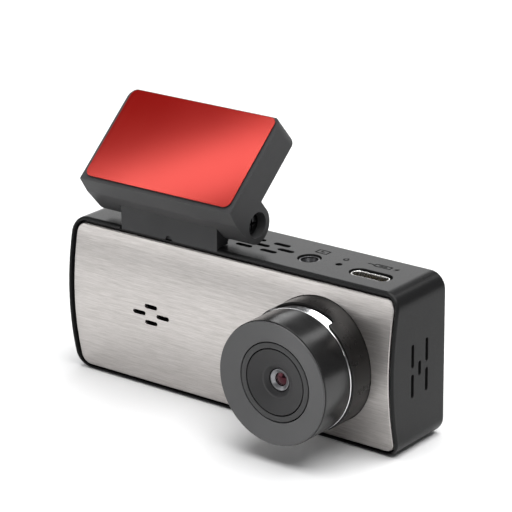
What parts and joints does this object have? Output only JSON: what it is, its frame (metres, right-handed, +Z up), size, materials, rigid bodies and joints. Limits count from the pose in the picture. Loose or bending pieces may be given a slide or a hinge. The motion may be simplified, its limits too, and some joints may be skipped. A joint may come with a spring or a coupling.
{
  "type": "dash camera",
  "caption": "Slim rounded-block dash camera with a brushed face plate, an off-centre round lens snout, rear screen and keys, and a hinged adhesive windscreen bracket.",
  "frame": {"origin": "centre of the flat underside of the housing, half way between its front rim and its rear edge", "axes": "+X along the length of the housing towards the lens end, -Y the way the lens looks, +Z up towards the windscreen bracket"},
  "size_m": [0.0854, 0.0345, 0.0611],
  "materials": {
    "housing_plastic": "fine matte texture",
    "gloss_black_plastic": "polished",
    "lens_face_plastic": "satin",
    "hood_plastic": "satin",
    "brushed_face": "brushed along its length",
    "chrome_trim": "mirror polished",
    "steel": "plated",
    "aluminium": "satin",
    "circuit_board": "solder mask",
    "chip_plastic": "moulded",
    "optical_glass": "coated",
    "screen_glass": "polished",
    "film": "glossy",
    "foam": "closed cell",
    "rubber": "matte",
    "ribbon": "polyimide",
    "white_plastic": "satin",
    "thermal_pad": "soft"
  },
  "bodies": {
    "camera": {"front_shell": "housing_plastic", "face_plate": "brushed_face", "rear_cover": "housing_plastic", "screen_glass": "screen_glass", "cover_screw_1": "steel", "cover_screw_2": "steel", "cover_screw_3": "steel", "cover_screw_4": "steel", "lens_collar": "gloss_black_plastic", "main_board": "circuit_board", "processor": "chip_plastic", "thermal_pad": "thermal_pad", "heat_sink": "aluminium", "memory_chip": "chip_plastic", "wireless_module": "aluminium", "power_coil": "rubber", "supercapacitor": "rubber", "usb_shell": "steel", "usb_tongue": "chip_plastic", "av_jack_body": "chip_plastic", "av_jack_collar": "steel", "reset_switch": "chip_plastic", "speaker_mesh": "foam", "speaker_frame": "chip_plastic", "speaker_cone": "rubber", "card_socket": "steel", "sensor_ribbon": "ribbon", "display_panel": "screen_glass", "display_backlight": "white_plastic", "display_ribbon": "ribbon", "button_board": "circuit_board", "microphone": "steel", "mount_base": "housing_plastic"},
    "lens_head": {"lens_barrel": "chrome_trim", "head_trim_ring": "chrome_trim", "head_shell": "gloss_black_plastic", "head_front_ring": "lens_face_plastic", "head_inner_ring": "lens_face_plastic", "lens_hood": "hood_plastic", "lens_retainer": "steel", "front_lens": "optical_glass", "lens_holder": "chip_plastic", "middle_lens": "optical_glass", "rear_lens": "optical_glass", "infrared_filter": "optical_glass", "image_sensor": "chip_plastic", "sensor_board": "circuit_board"},
    "bracket_arm": {"mount_arm": "housing_plastic", "adhesive_foam": "foam", "release_film": "film", "hinge_screw_right": "steel", "hinge_screw_left": "steel", "friction_washer_right": "steel", "friction_washer_left": "steel"},
    "reset_button": {"reset_plunger": "rubber"},
    "card": {"memory_card": "chip_plastic"},
    "key_1": {"button_1": "rubber"},
    "key_2": {"button_2": "rubber"},
    "key_3": {"button_3": "rubber"},
    "key_4": {"button_4": "rubber"}
  },
  "joints": [
    {"name": "mount_tilt", "type": "hinge", "parent": "camera", "child": "bracket_arm", "pos_m": [-0.0162, -0.0036, 0.0404], "axis": [1, 0, 0], "range_deg": [-50, 5]},
    {"name": "lens_turn", "type": "hinge", "parent": "camera", "child": "lens_head", "pos_m": [0.0236, -0.015, 0.0174], "axis": [0, -1, 0], "range_deg": [-20, 20]},
    {"name": "button_1_press", "type": "slide", "parent": "camera", "child": "key_1", "axis": [0, -1, 0], "range_m": [0, 0.0004], "stiffness_N_per_m": 2000},
    {"name": "button_2_press", "type": "slide", "parent": "camera", "child": "key_2", "axis": [0, -1, 0], "range_m": [0, 0.0004], "stiffness_N_per_m": 2000},
    {"name": "button_3_press", "type": "slide", "parent": "camera", "child": "key_3", "axis": [0, -1, 0], "range_m": [0, 0.0004], "stiffness_N_per_m": 2000},
    {"name": "button_4_press", "type": "slide", "parent": "camera", "child": "key_4", "axis": [0, -1, 0], "range_m": [0, 0.0004], "stiffness_N_per_m": 2000},
    {"name": "reset_press", "type": "slide", "parent": "camera", "child": "reset_button", "axis": [0, 0, -1], "range_m": [0, 0.0003], "stiffness_N_per_m": 2000},
    {"name": "card_slide", "type": "slide", "parent": "camera", "child": "card", "axis": [-1, 0, 0], "range_m": [0, 0.012]}
  ]
}
